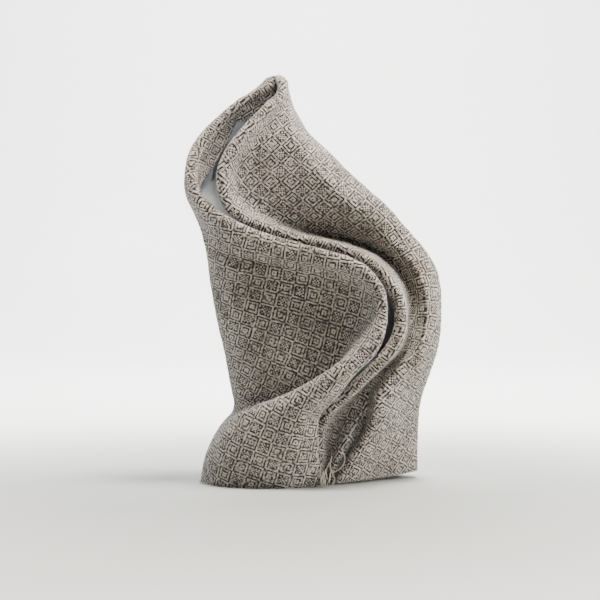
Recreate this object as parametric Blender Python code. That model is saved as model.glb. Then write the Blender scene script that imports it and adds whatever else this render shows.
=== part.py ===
"""Pocket square, rolled into a standing cornet: a patterned face cloth with its edges
turned in, and a plain lining inside it. Blender 4.5, metres, +Z up, front towards -Y."""
import bpy
import numpy as np
from mathutils import Matrix, Vector
from mathutils.bvhtree import BVHTree

NAME = "pocket_square"
MM = 0.001

# Driving sizes, in millimetres
FACE_WALL = 1.2
LINING_WALL = 1.0
SEAM_GAP = 0.3
HOOD_START = 156.0
HOOD_TOP = 169
HOOD_SHRINK = 0.15
FACE_ROWS = 44
LINING_TOP = 157.0
LINING_PASSES = 30
LINING_EDGE = 2.2
LINING_DEPTH = 0.5 * FACE_WALL + SEAM_GAP + 0.5 * LINING_WALL + 0.12
FACING_DEPTH = 2 * LINING_DEPTH + 0.4

# Each line below runs up the cloth. Its rows name height, across and depth.
FRONT_RIM = (
    (0, 1.5, -7.5), (12, 2.2, -11), (22, 2.4, -13.5), (31, 3.4, -16.5), (38, 10.5, -18.5), (45, 15.2, -21.2),
    (57, 24.5, -23.2), (65, 27.8, -22.2), (73, 28.8, -20.5), (85, 25.5, -19.6), (93, 15.6, -18.7),
    (99, -4.5, -17), (104, -22, -14.8), (110, -36.5, -12), (116, -44.8, -9.5), (123, -49.9, -6),
    (131, -51.6, -1.6), (140, -49, 4.3), (147, -44.6, 7.8), (153, -39.3, 9.8), (158, -34.4, 10.6),
    (163, -28.4, 10.8), (166.5, -21.8, 10.4), (169, -17, 9.6))
LIP_FRONT = (
    (0, -13, -12.5), (12, -10, -16.5), (22, -8, -19.5), (31, -7, -21.5), (38, 2, -23.5), (45, 9.5, -25),
    (51, 16, -24), (57, 22.2, -22.8), (65, 26.4, -20.8), (73, 27.8, -19), (85, 24.3, -18.6),
    (93, 12, -18.3), (99, -10, -16.8))
LIP_BORDER = (
    (0, -30, -10), (12, -27, -13.5), (22, -25, -16), (27, -26, -15), (31, -28, -12), (34, -21.5, -14.5),
    (38, -11.5, -18), (45, 1.5, -21.5), (51, 11, -22), (57, 19, -21.2), (65, 24.6, -18.8),
    (73, 26.3, -16), (85, 22, -16), (93, 8.5, -17.4), (99, -15, -16.8))
CUFF_INSIDE = (
    (0, -38, -5), (12, -36, -9), (22, -34, -10), (27, -31.4, -9.5), (31, -27, -7.5), (34, -19, -9.5),
    (38, -9, -12.5), (45, 3.5, -15.5), (51, 11.5, -17), (57, 17.3, -16.8), (65, 22, -14), (73, 23, -12),
    (85, 18, -12.8), (93, 4, -15.6), (99, -20, -16.2))
CUFF_VALLEY = (
    (0, -42, 0), (12, -39.6, -4), (22, -36.8, -5), (27, -33.2, -5), (31, -27.4, -4), (34, -20, -5),
    (38, -7, -7), (45, 5.5, -8.5), (51, 12, -9.5), (57, 15.5, -9.8), (65, 17, -9), (73, 16.5, -8.6),
    (85, 11, -10), (93, -2, -13.8), (99, -26, -15))
PANEL_RIGHT = (
    (0, -44, 3.5), (12, -41.6, -0.5), (22, -37.8, -2), (27, -34.2, -2), (31, -29.2, -1.5), (34, -25, -2.5),
    (38, -16, -4.5), (45, -4, -7), (57, 5, -7.8), (73, 5, -7.2), (85, -2, -8.8), (93, -14, -12),
    (99, -32, -13))
PANEL_LEFT = (
    (0, -45.2, 6), (12, -42.6, 2.5), (22, -38.2, 0.5), (27, -34.8, 0.5), (31, -30.8, 1.5), (34, -29.8, 0.5),
    (38, -26.6, -2.5), (45, -21, -5.8), (57, -18, -8), (73, -20, -9), (85, -24, -9.5), (93, -31, -10.5),
    (99, -38, -8))
LEFT_EDGE = (
    (0, -45.3, 9), (12, -42.8, 6), (22, -38.2, 4), (27, -34.6, 4), (31, -31.3, 5), (34, -31.2, 5),
    (38, -31.9, 4), (45, -32.9, 3), (57, -35.1, 2), (73, -38.6, 1), (85, -40.6, 0), (99, -43, 0),
    (110, -45.8, 1), (116, -48.6, 1.8), (123, -51, 3.7), (131, -49.2, 7.3), (140, -42.5, 11.3),
    (149, -35, 14.7), (158, -28.5, 16.2), (166, -21.6, 15.8), (171, -17.5, 14.5))
SHOULDER = (
    (93, -29, -16), (99, -33, -16), (104, -37.8, -13.5), (110, -44.2, -9.5), (116, -49.2, -6.5),
    (123, -52.4, -2), (131, -52, 2.7), (140, -46.6, 7.9), (149, -39.4, 12.1), (158, -32.4, 14.2),
    (166, -24.8, 14), (171, -19, 12.8))
BACK_LEFT = (
    (0, -35, 24), (31, -26, 20), (57, -27, 20), (85, -31, 20), (110, -35, 20), (131, -35, 19),
    (149, -24, 20), (166, -16, 18), (171, -14.5, 15.5))
BACK_MID = (
    (0, -2, 38), (31, 4, 34), (57, 8, 32), (85, 8, 32), (110, 0, 32), (131, -14, 27), (149, -11, 22),
    (166, -12, 17.5), (171, -12, 15))
BACK_RIGHT = (
    (0, 35, 37), (31, 37, 32), (57, 43, 27), (85, 43, 27), (110, 28, 26), (131, 9, 21), (149, -2, 17),
    (166, -9.6, 14), (171, -10, 12.6))
RIGHT_EDGE = (
    (0, 46.3, 24), (12, 46.2, 21), (22, 46.4, 18), (31, 46.8, 15), (38, 48.1, 12), (45, 50.5, 10),
    (57, 54.3, 9), (73, 55.7, 9), (85, 55, 10), (93, 52.4, 10), (99, 48.3, 10), (104, 44.1, 9.5),
    (110, 38.7, 8), (116, 33.4, 7), (123, 25.5, 6), (131, 16.6, 6), (140, 7.8, 7), (149, -1.9, 8),
    (158, -7, 9), (166, -9.2, 11), (171, -10, 11))
RIGHT_FRONT = (
    (0, 33, 14), (22, 36.5, 8), (38, 39.5, 1.5), (57, 47, -1.4), (73, 49.3, -0.2), (85, 48, 1),
    (93, 44, 2.8), (99, 38.5, 3.8), (104, 33, 3.2), (110, 27, 1), (116, 20, -1.5), (123, 12, -3),
    (131, 4, -3), (140, -2.6, -1), (149, -8, 0.5), (158, -9.2, 4.2), (166, -9.4, 7.4), (171, -10.2, 8.6))
PLEAT_LIP = (
    (0, 11.5, 0), (12, 18.5, -0.5), (22, 24.6, -2), (31, 27.5, -3), (38, 29, -4.5), (45, 33.5, -3.8),
    (51, 38.5, -2.8), (57, 43.8, -1.3))
PLEAT_DEEP = (
    (0, 11, 5), (12, 16.6, 6), (22, 22.6, 7), (31, 25.2, 8), (38, 26.5, 8), (45, 31, 4.5),
    (57, 41.2, 2.6))
PLEAT_CREST = (
    (0, 8.4, 3.5), (12, 12.2, -0.5), (22, 17.3, -1), (31, 21.3, 6), (38, 23.3, 8.5), (45, 28.6, 5),
    (57, 39.6, 2.2))
PLEAT_FAR = (
    (0, 6.6, 6), (12, 9, 5.5), (22, 13, 6), (31, 17, 7), (38, 20.3, 6), (45, 26.6, 2), (57, 38.2, -1))
RIDGE_BACK = (
    (0, 4.6, 4), (12, 6.8, 2), (22, 8.5, 1.5), (31, 12.5, 0.5), (38, 18.5, -1), (45, 25.3, -4),
    (57, 36.8, -6))
BACK_RIM = (
    (0, 3.2, 0.5), (12, 5.5, -2), (22, 6, -3.5), (31, 10, -5), (38, 18, -7), (43, 23.1, -8.5),
    (49, 29.2, -10), (56, 35.6, -11), (63, 39.2, -11), (71, 40, -10.5), (78.6, 39, -9), (85, 35.6, -8),
    (92, 29.5, -6.5), (98, 20.3, -4.5), (102, 8.6, -3.2), (104.6, -3.9, -3), (108, -14.3, -3.5),
    (112, -24, -5), (116, -30, -7.5), (123, -33.6, -10), (131, -33.6, -11), (140, -29.6, -10),
    (149, -22.8, -7.5), (158, -14.7, -3.2), (162, -11.8, -0.4), (166, -10.3, 2.2), (171, -11, 4.8))
HOLLOW = (
    (45, 28, 4), (57, 39, 4), (73, 41.5, 9), (85, 40.5, 13), (92, 37, 16), (98, 31, 17), (102, 21, 15),
    (104.6, 11, 13), (108, -1, 11), (112, -12, 9), (116, -19.5, 7), (123, -25, 5), (131, -26, 3.5),
    (140, -24, 1), (149, -19.5, -1), (158, -13.8, 0.5), (166, -11.5, 4.5), (171, -11.4, 6.5))

# Rows name the height, the size of the front and of the back roll, and the facing width
ROLL = (
    (0, 0.64, 0.64, 5), (31, 0.64, 0.64, 5), (43, 0.62, 0.62, 2.4), (50, 0.6, 0.62, 1.4),
    (60, 0.6, 0.62, 1.8), (72, 0.6, 0.62, 2.4), (85, 0.62, 0.62, 3.2), (95, 0.7, 0.64, 3),
    (105, 0.75, 0.64, 3.2), (116, 0.8, 0.68, 4), (124, 0.8, 0.74, 6), (131, 0.8, 0.8, 9),
    (150, 0.75, 0.7, 9), (158, 0.66, 0.64, 4), (163, 0.55, 0.5, 1.4), (169, 0.5, 0.5, 1))
# Rows name how far past the edge the turned cloth stands, and how far in
CURL = ((1.5, 0.3), (2.7, 1.2), (3.1, 2.7), (2.6, 4.1), (1.2, 4.9), (-0.6, 4.9))


def curve(knots, values, at):
    """Smooth curve through the values at the knots."""
    knots = np.asarray(knots, float)
    at = np.clip(np.atleast_1d(np.asarray(at, float)), knots[0], knots[-1])
    values = np.asarray(values, float).reshape(len(knots), -1)
    span = np.diff(knots)
    chord = np.diff(values, axis=0) / span[:, None]
    share = (span[:-1] / (span[:-1] + span[1:]))[:, None]
    slope = np.vstack([chord[:1], chord[:-1] * (1 - share) + chord[1:] * share, chord[-1:]])
    i = np.clip(np.searchsorted(knots, at, side="right") - 1, 0, len(span) - 1)
    h = span[i][:, None]
    t = ((at - knots[i]) / span[i])[:, None]
    start = (1 + 2 * t) * (1 - t) ** 2 * values[i] + t * (1 - t) ** 2 * h * slope[i]
    end = t * t * (3 - 2 * t) * values[i + 1] - t * t * (1 - t) * h * slope[i + 1]
    return start + end


def line(table, heights):
    """Places along one line of the cloth at the heights."""
    rows = np.array(table, float)
    return curve(rows[:, 0], rows[:, 1:], heights)


def ease(x, low, high):
    """Smooth step from 0 to 1, as a column."""
    t = np.clip((np.asarray(x, float) - low) / (high - low), 0, 1)
    return (t * t * (3 - 2 * t))[:, None]


def bow(start, middle, end, share):
    """A bent line from start to end that leans on middle."""
    return (1 - share) ** 2 * start + 2 * share * (1 - share) * middle + share ** 2 * end


def sag(start, first, second, end, share):
    """A bent line from start to end with two handles."""
    rest = 1 - share
    near = rest ** 3 * start + 3 * rest ** 2 * share * first
    return near + 3 * rest * share ** 2 * second + share ** 3 * end


def sections(heights, bridged=False):
    """Plan places of every line at the heights. A bridged sheet spans the pleat."""
    front_rim = line(FRONT_RIM, heights)
    back_rim = line(BACK_RIM, heights)
    left = line(LEFT_EDGE, heights)
    right_front = line(RIGHT_FRONT, heights)
    shoulder = line(SHOULDER, heights)
    hollow = line(HOLLOW, heights)
    right = line(RIGHT_EDGE, heights)
    if bridged:
        ridge = ease(heights, 40, 56) * (1 - ease(heights, 104, 118))
        right_front = right_front + ridge * np.array([1.0, 5.0])
        right = right + ridge * np.array([-0.5, 0.0])
    rows = [front_rim]
    plain = ease(heights, 90, 102)
    lip = (LIP_FRONT, LIP_BORDER, CUFF_INSIDE, CUFF_VALLEY, PANEL_RIGHT, PANEL_LEFT)
    for number, table in enumerate(lip, 1):
        simple = bow(front_rim, shoulder, left, number / (len(lip) + 1))
        rows.append(line(table, heights) * (1 - plain) + simple * plain)
    rows.append(left)
    rows += [line(table, heights) for table in (BACK_LEFT, BACK_MID, BACK_RIGHT)]
    rows += [right, right_front]
    plain = ease(heights, 46, 64)
    crest = right_front + (back_rim - right_front) * np.array([0.35, 0.0])
    crest = crest + (back_rim - right_front) * np.array([0.0, 0.4]) * ease(heights, 146, 160)
    deep = hollow + (hollow - back_rim) * np.array([0.0, 0.3])
    pleat = (PLEAT_LIP, PLEAT_DEEP, PLEAT_CREST, PLEAT_FAR, RIDGE_BACK)
    for number, table in enumerate(pleat, 1):
        simple = sag(right_front, crest, deep, back_rim, number / (len(pleat) + 1))
        rows.append(line(table, heights) * (1 - plain) + simple * plain)
    rows.append(back_rim)
    if bridged:
        behind = 1 - ease(heights, 44, 60)
        lip, deep, crest, far = range(-6, -2)
        rows[lip] = rows[lip] + behind * np.array([2.5, 3.0])
        rows[deep] = rows[deep] + behind * np.array([1.0, 1.5])
        rows[far] = rows[far] + behind * np.array([-0.5, 1.5])
        middle = 0.5 * (rows[deep] + rows[far]) + np.array([0, 0.8])
        rows[crest] = rows[crest] * (1 - behind) + middle * behind
    return np.array(rows)


# How far each line is raised at the foot and at the tip, in the order of the sections
FOOT_LIFT = (0, 0, 0, 0, 0, 0, 0, 0, 0, 0, 1.2, 3, 1.6, 0.5, 0, 0, 0, 0, 0)
TIP_LIFT = (0, 0, 0.1, 0.2, 0.3, 0.4, 0.5, 0.6, 0.8, 1, 1.2, 1.1, 0.8, 0.4, 0, -0.3, -0.6, -0.8, -1)


def sheet(heights, steps, bridged=False):
    """Middle surface of the cloth: rows, columns, and across, depth and height."""
    places = sections(heights, bridged)
    foot = 1 - ease(heights, 0, 16)[:, 0]
    hood = np.clip((heights - HOOD_START) / (HOOD_TOP - HOOD_START), 0, 1)
    tip = np.array([-13.5, 9.5])
    rows = []
    for row, height in enumerate(heights):
        shrink = 1 - HOOD_SHRINK * (1 - np.sqrt(max(0.0, 1 - hood[row] ** 2)))
        plan = tip + (places[:, row] - tip) * shrink
        lift = np.array(FOOT_LIFT) * foot[row] + np.array(TIP_LIFT) * hood[row]
        points = np.column_stack([plan, height + lift])
        gaps = np.maximum(np.linalg.norm(np.diff(plan, axis=0), axis=1), 0.5) ** 0.5
        knots = np.concatenate([[0], np.cumsum(gaps)])
        seam = LINING_EDGE * (1 - ease([height], LINING_TOP, LINING_TOP + 9)[0, 0])
        rows.append(spaced(points, knots, steps, seam))
    return np.array(rows)


def spaced(points, knots, steps, seam):
    """Columns along one section, the second and the last but one at the seam line."""
    fine = np.concatenate([np.linspace(start, end, 9)[:-1] for start, end in zip(knots, knots[1:])])
    fine = np.append(fine, knots[-1])
    dense = curve(knots, points, fine)
    lengths = np.concatenate([[0], np.cumsum(np.linalg.norm(np.diff(dense, axis=0), axis=1))])
    at = [0.0]
    for number, count in enumerate(steps):
        start, end = lengths[8 * number], lengths[8 * (number + 1)]
        at += list(start + (end - start) * (np.arange(count) + 1) / count)
    at = np.array(at)
    total = at[-1]
    fade = np.clip(1 - (np.arange(len(at)) - 1) / 5, 0, 1)
    if seam:
        at = at + (seam - at[1]) * fade - (at[-2] - total + seam) * fade[::-1]
    at[0], at[-1] = 0, total
    return np.column_stack([np.interp(at, lengths, dense[:, axis]) for axis in range(3)])


def unit(vectors):
    return vectors / np.maximum(np.linalg.norm(vectors, axis=-1, keepdims=True), 1e-9)


def normals(points, longest=1.6):
    """Directions square to a grid of points, towards the inside of the tube. They are
    longer at a bend, so that a moved grid keeps its distance from the flat faces."""
    flat = unit(np.cross(points[1:, 1:] - points[:-1, :-1], points[1:, :-1] - points[:-1, 1:]))
    around = np.zeros((4,) + points.shape)
    spots = ((0, 0), (0, 1), (1, 0), (1, 1))
    rows, columns = flat.shape[:2]
    for layer, (row, column) in zip(around, spots):
        layer[row:row + rows, column:column + columns] = flat
    mean = unit(around.sum(axis=0))
    used = np.linalg.norm(around, axis=-1) > 0.5
    lean = np.where(used, np.sum(around * mean, axis=-1), 1).min(axis=0)
    return mean / np.clip(lean, 1 / longest, 1)[..., None]


def surface(points):
    """Search tree of a grid of points. Its normals look into the tube."""
    rows, columns = points.shape[:2]
    index = np.arange(rows * columns).reshape(rows, columns)
    corners = (index[:-1, :-1], index[:-1, 1:], index[1:, 1:], index[1:, :-1])
    faces = np.stack([corner.ravel() for corner in corners], axis=1)
    return BVHTree.FromPolygons(points.reshape(-1, 3).tolist(), faces.tolist())


def turned_edge(points, inward, heights, first, tree):
    """Curl and facing added past one end of every row, outermost column last."""
    grid = points if first else points[:, ::-1]
    side = unit(inward[:, 0] if first else inward[:, -1])
    sizes = line(ROLL, heights)
    size = sizes[:, 0] if first else sizes[:, 1]
    width = sizes[:, 2]
    up = unit(np.gradient(grid[:, 0], axis=0))
    out = grid[:, 0] - grid[:, 1]
    out = unit(out - up * np.sum(out * up, axis=1, keepdims=True))
    extra = [grid[:, 0] + (out * past + side * deep) * size[:, None] for past, deep in CURL]
    bare = ease(heights, LINING_TOP + 1, LINING_TOP + 6)[:, 0]
    rest = FACING_DEPTH * (1 - bare) + (FACE_WALL + SEAM_GAP) * bare
    for share in (0.35, 0.65, 1.0):
        lift = rest + np.maximum(CURL[-1][1] * size - rest, 0) * (1 - share) ** 1.5
        spots = grid[:, 0] - out * (width * share)[:, None] + side * lift[:, None]
        for _ in range(3):
            spots = settled(spots[:, None], tree, rest[:, None], 1)[:, 0]
            even = 0.25 * spots[:-2] + 0.5 * spots[1:-1] + 0.25 * spots[2:]
            spots[1:-1] += (even - spots[1:-1]) * (1 - bare[1:-1, None])
        extra.append(settled(spots[:, None], tree, rest[:, None] * (bare[:, None] < 0.1), 1)[:, 0])
    return extra


def settled(points, tree, depth, passes):
    """The sheet eased off the surface wherever it comes nearer than its depth there."""
    depth = np.broadcast_to(depth, points.shape[:2])
    for step in range(passes):
        close = np.zeros(points.shape[:2], bool)
        for spot in np.ndindex(close.shape):
            point = Vector(points[spot])
            place, normal = tree.find_nearest(point)[:2]
            apart = point - place
            if depth[spot] == 0 or (apart.dot(normal) > 0 and apart.length >= depth[spot]):
                continue
            side = apart.normalized() if apart.dot(normal) > 0 else normal
            points[spot] = place + side * depth[spot]
            close[spot] = True
        if step == passes - 1:
            return points
        close[:, 1:-1] |= close[:, 2:] | close[:, :-2]
        close[:, 0] = close[:, -1] = False
        mean = points.copy()
        mean[:, 1:-1] = 0.25 * points[:, :-2] + 0.5 * points[:, 1:-1] + 0.25 * points[:, 2:]
        points[close] = mean[close]


def wall(name, points, inward, thickness, collection, color, roughness):
    """Closed wall around a grid of middle points."""
    rows, columns = points.shape[:2]
    outer = points - inward * (0.5 * thickness)
    inner = points + inward * (0.5 * thickness)
    outer[0, :, 2] = inner[0, :, 2] = points[0, :, 2]
    verts = np.concatenate([outer.reshape(-1, 3), inner.reshape(-1, 3)]) * MM
    count = rows * columns
    index = np.arange(count).reshape(rows, columns)
    faces = []
    for r, c in np.ndindex(rows - 1, columns - 1):
        low, side, high, up = index[r, c], index[r, c + 1], index[r + 1, c + 1], index[r + 1, c]
        faces += [(low, up, high), (low, high, side)]
        faces += [(low + count, high + count, up + count), (low + count, side + count, high + count)]
    loop = list(index[0, :]) + list(index[1:, -1]) + list(index[-1, -2::-1]) + list(index[-2:0:-1, 0])
    for start, end in zip(loop, loop[1:] + loop[:1]):
        faces.append((start, end, end + count, start + count))
    mesh = bpy.data.meshes.new(name)
    mesh.from_pydata([tuple(v) for v in verts], [], [tuple(int(v) for v in f) for f in faces])
    mesh.validate()
    thing = bpy.data.objects.new(name, mesh)
    collection.objects.link(thing)
    material = bpy.data.materials.new(name)
    material.use_nodes = True
    shader = material.node_tree.nodes["Principled BSDF"]
    shader.inputs["Base Color"].default_value = (*color, 1)
    shader.inputs["Roughness"].default_value = roughness
    mesh.materials.append(material)
    mesh.shade_smooth()
    return thing


def row_heights():
    """Heights of the rows, closer together where the rims run nearly level."""
    fine = np.linspace(0, HOOD_TOP, 600)
    rim = np.column_stack([line(FRONT_RIM, fine), fine])
    length = np.concatenate([[0], np.cumsum(np.linalg.norm(np.diff(rim, axis=0), axis=1))])
    density = length + fine + 1.5 * np.clip(fine - HOOD_START, 0, None)
    return np.interp(np.linspace(0, density[-1], FACE_ROWS), density, fine)


def main():
    for thing in list(bpy.data.objects):
        bpy.data.objects.remove(thing, do_unlink=True)
    collection = bpy.data.collections.new(NAME)
    bpy.context.scene.collection.children.link(collection)

    heights = row_heights()
    steps = (2, 2, 2, 2, 2, 2, 2, 3, 3, 3, 3, 3, 3, 2, 2, 2, 2, 2)
    cloth = sheet(heights, steps)
    inward = normals(cloth)
    tree = surface(cloth)

    lined = heights[(heights > 1) & (heights < LINING_TOP)]
    looser = steps[:11] + (2, 1) + steps[13:]
    bridge = sheet(lined, looser, bridged=True)
    inside = (bridge + normals(bridge) * LINING_DEPTH)[:, 1:-1]
    depth = np.full(inside.shape[:2], LINING_DEPTH - 0.05)
    depth[lined < 40, -10:-3] = 0
    inside = settled(inside, tree, depth, LINING_PASSES)
    wall("lining", inside, normals(inside, 1.2), LINING_WALL, collection, (0.22, 0.23, 0.24), 0.75)

    front = turned_edge(cloth, inward, heights, True, tree)
    back = turned_edge(cloth, inward, heights, False, tree)
    full = np.concatenate([np.stack(front[::-1], 1), cloth, np.stack(back, 1)], axis=1)
    turned = len(CURL) + 3
    full[0, :turned, 2] = full[0, -turned:, 2] = 0
    full[0, :, 2] = np.maximum(full[0, :, 2], 0)
    wall("face_cloth", full, normals(full, 1.2), FACE_WALL, collection, (0.30, 0.26, 0.23), 0.85)

    corners = np.array([vertex.co for thing in collection.objects for vertex in thing.data.vertices])
    low, high = corners.min(axis=0), corners.max(axis=0)
    middle = Vector((0.5 * (low[0] + high[0]), 0.5 * (low[1] + high[1]), low[2]))
    for thing in collection.objects:
        thing.data.transform(Matrix.Translation(-middle))


main()
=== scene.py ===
# %% [markdown]
# # Pocket square
# The real thing is two squares of cloth sewn together: a patterned jacquard with its edges turned in, and
# a plain grey lining inside it. They are rolled into a cornet that stands on its cut foot. The CAD part
# gives each cloth as a plain solid. This script puts a finer cloth in place of each solid, gives it its
# woven pattern, and adds the stitches, the loose yarns and the short fibres.

import math
import random

import bpy
import numpy as np
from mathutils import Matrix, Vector
from mathutils.bvhtree import BVHTree


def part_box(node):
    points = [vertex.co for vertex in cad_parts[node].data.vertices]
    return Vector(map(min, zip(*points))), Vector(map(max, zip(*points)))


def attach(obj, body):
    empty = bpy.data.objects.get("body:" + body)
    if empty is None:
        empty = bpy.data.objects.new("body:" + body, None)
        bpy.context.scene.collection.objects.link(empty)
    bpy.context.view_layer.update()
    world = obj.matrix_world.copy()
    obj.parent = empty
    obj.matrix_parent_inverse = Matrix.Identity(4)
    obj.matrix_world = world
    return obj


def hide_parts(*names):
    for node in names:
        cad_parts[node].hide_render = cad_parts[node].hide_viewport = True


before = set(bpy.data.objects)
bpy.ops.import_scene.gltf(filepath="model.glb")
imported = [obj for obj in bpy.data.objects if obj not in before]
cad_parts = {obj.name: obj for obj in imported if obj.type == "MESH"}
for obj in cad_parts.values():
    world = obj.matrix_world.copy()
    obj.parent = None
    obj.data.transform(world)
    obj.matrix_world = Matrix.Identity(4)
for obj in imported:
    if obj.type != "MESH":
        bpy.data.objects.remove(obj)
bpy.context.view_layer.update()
MM = 0.001
face_box = [round(value / MM, 1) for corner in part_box("face_cloth") for value in corner]
print("CAD box of the face cloth, in mm:", face_box)

# %% [markdown]
# ## Lines of the cloth
# The form of a rolled cloth lies in its folds. A cloth simulation never falls as one real cloth fell, so
# each fold is a line that runs up the cloth, listed where the real one is. The lines are those of the
# part's source, in millimetres. Rows name the height, how far across and how deep.

# %% Front rim and the cuff beside it
# Added to every place at the end, because the frame's origin is the middle of the foot
SHIFT = np.array([-1.938, -7.418, 0.0])
FRONT_RIM = (
    (0, 1.5, -7.5), (12, 2.2, -11), (22, 2.4, -13.5), (31, 3.4, -16.5), (38, 10.5, -18.5), (45, 15.2, -21.2),
    (57, 24.5, -23.2), (65, 27.8, -22.2), (73, 28.8, -20.5), (85, 25.5, -19.6), (93, 15.6, -18.7),
    (99, -4.5, -17), (104, -22, -14.8), (110, -36.5, -12), (116, -44.8, -9.5), (123, -49.9, -6),
    (131, -51.6, -1.6), (140, -49, 4.3), (147, -44.6, 7.8), (153, -39.3, 9.8), (158, -34.4, 10.6),
    (163, -28.4, 10.8), (166.5, -21.8, 10.4), (169, -17, 9.6))
LIP_FRONT = (
    (0, -13, -12.5), (12, -10, -16.5), (22, -8, -19.5), (31, -7, -21.5), (38, 2, -23.5), (45, 9.5, -25),
    (51, 16, -24), (57, 22.2, -22.8), (65, 26.4, -20.8), (73, 27.8, -19), (85, 24.3, -18.6),
    (93, 12, -18.3), (99, -10, -16.8))
LIP_BORDER = (
    (0, -30, -10), (12, -27, -13.5), (22, -25, -16), (27, -26, -15), (31, -28, -12), (34, -21.5, -14.5),
    (38, -11.5, -18), (45, 1.5, -21.5), (51, 11, -22), (57, 19, -21.2), (65, 24.6, -18.8),
    (73, 26.3, -16), (85, 22, -16), (93, 8.5, -17.4), (99, -15, -16.8))
CUFF_INSIDE = (
    (0, -38, -5), (12, -36, -9), (22, -34, -10), (27, -31.4, -9.5), (31, -27, -7.5), (34, -19, -9.5),
    (38, -9, -12.5), (45, 3.5, -15.5), (51, 11.5, -17), (57, 17.3, -16.8), (65, 22, -14), (73, 23, -12),
    (85, 18, -12.8), (93, 4, -15.6), (99, -20, -16.2))
CUFF_VALLEY = (
    (0, -42, 0), (12, -39.6, -4), (22, -36.8, -5), (27, -33.2, -5), (31, -27.4, -4), (34, -20, -5),
    (38, -7, -7), (45, 5.5, -8.5), (51, 12, -9.5), (57, 15.5, -9.8), (65, 17, -9), (73, 16.5, -8.6),
    (85, 11, -10), (93, -2, -13.8), (99, -26, -15))
print("front rim up to", FRONT_RIM[-1][0], "mm, cuff up to", LIP_FRONT[-1][0], "mm")

# %% Front panel and left edge
PANEL_RIGHT = (
    (0, -44, 3.5), (12, -41.6, -0.5), (22, -37.8, -2), (27, -34.2, -2), (31, -29.2, -1.5), (34, -25, -2.5),
    (38, -16, -4.5), (45, -4, -7), (57, 5, -7.8), (73, 5, -7.2), (85, -2, -8.8), (93, -14, -12),
    (99, -32, -13))
PANEL_LEFT = (
    (0, -45.2, 6), (12, -42.6, 2.5), (22, -38.2, 0.5), (27, -34.8, 0.5), (31, -30.8, 1.5), (34, -29.8, 0.5),
    (38, -26.6, -2.5), (45, -21, -5.8), (57, -18, -8), (73, -20, -9), (85, -24, -9.5), (93, -31, -10.5),
    (99, -38, -8))
LEFT_EDGE = (
    (0, -45.3, 9), (12, -42.8, 6), (22, -38.2, 4), (27, -34.6, 4), (31, -31.3, 5), (34, -31.2, 5),
    (38, -31.9, 4), (45, -32.9, 3), (57, -35.1, 2), (73, -38.6, 1), (85, -40.6, 0), (99, -43, 0),
    (110, -45.8, 1), (116, -48.6, 1.8), (123, -51, 3.7), (131, -49.2, 7.3), (140, -42.5, 11.3),
    (149, -35, 14.7), (158, -28.5, 16.2), (166, -21.6, 15.8), (171, -17.5, 14.5))
SHOULDER = (
    (93, -29, -16), (99, -33, -16), (104, -37.8, -13.5), (110, -44.2, -9.5), (116, -49.2, -6.5),
    (123, -52.4, -2), (131, -52, 2.7), (140, -46.6, 7.9), (149, -39.4, 12.1), (158, -32.4, 14.2),
    (166, -24.8, 14), (171, -19, 12.8))
print("left edge reaches", min(row[1] for row in LEFT_EDGE), "mm across")

# %% Hidden back and right edge
BACK_LEFT = (
    (0, -35, 24), (31, -26, 20), (57, -27, 20), (85, -31, 20), (110, -35, 20), (131, -35, 19),
    (149, -24, 20), (166, -16, 18), (171, -14.5, 15.5))
BACK_MID = (
    (0, -2, 38), (31, 4, 34), (57, 8, 32), (85, 8, 32), (110, 0, 32), (131, -14, 27), (149, -11, 22),
    (166, -12, 17.5), (171, -12, 15))
BACK_RIGHT = (
    (0, 35, 37), (31, 37, 32), (57, 43, 27), (85, 43, 27), (110, 28, 26), (131, 9, 21), (149, -2, 17),
    (166, -9.6, 14), (171, -10, 12.6))
RIGHT_EDGE = (
    (0, 46.3, 24), (12, 46.2, 21), (22, 46.4, 18), (31, 46.8, 15), (38, 48.1, 12), (45, 50.5, 10),
    (57, 54.3, 9), (73, 55.7, 9), (85, 55, 10), (93, 52.4, 10), (99, 48.3, 10), (104, 44.1, 9.5),
    (110, 38.7, 8), (116, 33.4, 7), (123, 25.5, 6), (131, 16.6, 6), (140, 7.8, 7), (149, -1.9, 8),
    (158, -7, 9), (166, -9.2, 11), (171, -10, 11))
RIGHT_FRONT = (
    (0, 33, 14), (22, 36.5, 8), (38, 39.5, 1.5), (57, 47, -1.4), (73, 49.3, -0.2), (85, 48, 1),
    (93, 44, 2.8), (99, 38.5, 3.8), (104, 33, 3.2), (110, 27, 1), (116, 20, -1.5), (123, 12, -3),
    (131, 4, -3), (140, -2.6, -1), (149, -8, 0.5), (158, -9.2, 4.2), (166, -9.4, 7.4), (171, -10.2, 8.6))
print("right edge reaches", max(row[1] for row in RIGHT_EDGE), "mm across")

# %% Pleat at the foot
PLEAT_LIP = (
    (0, 11.5, 0), (12, 18.5, -0.5), (22, 24.6, -2), (31, 27.5, -3), (38, 29, -4.5), (45, 33.5, -3.8),
    (51, 38.5, -2.8), (57, 43.8, -1.3))
PLEAT_DEEP = (
    (0, 11, 5), (12, 16.6, 6), (22, 22.6, 7), (31, 25.2, 8), (38, 26.5, 8), (45, 31, 4.5),
    (57, 41.2, 2.6))
PLEAT_CREST = (
    (0, 8.4, 3.5), (12, 12.2, -0.5), (22, 17.3, -1), (31, 21.3, 6), (38, 23.3, 8.5), (45, 28.6, 5),
    (57, 39.6, 2.2))
PLEAT_FAR = (
    (0, 6.6, 6), (12, 9, 5.5), (22, 13, 6), (31, 17, 7), (38, 20.3, 6), (45, 26.6, 2), (57, 38.2, -1))
RIDGE_BACK = (
    (0, 4.6, 4), (12, 6.8, 2), (22, 8.5, 1.5), (31, 12.5, 0.5), (38, 18.5, -1), (45, 25.3, -4),
    (57, 36.8, -6))
print("pleat", PLEAT_LIP[0][1] - RIDGE_BACK[0][1], "mm wide at the foot")

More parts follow.
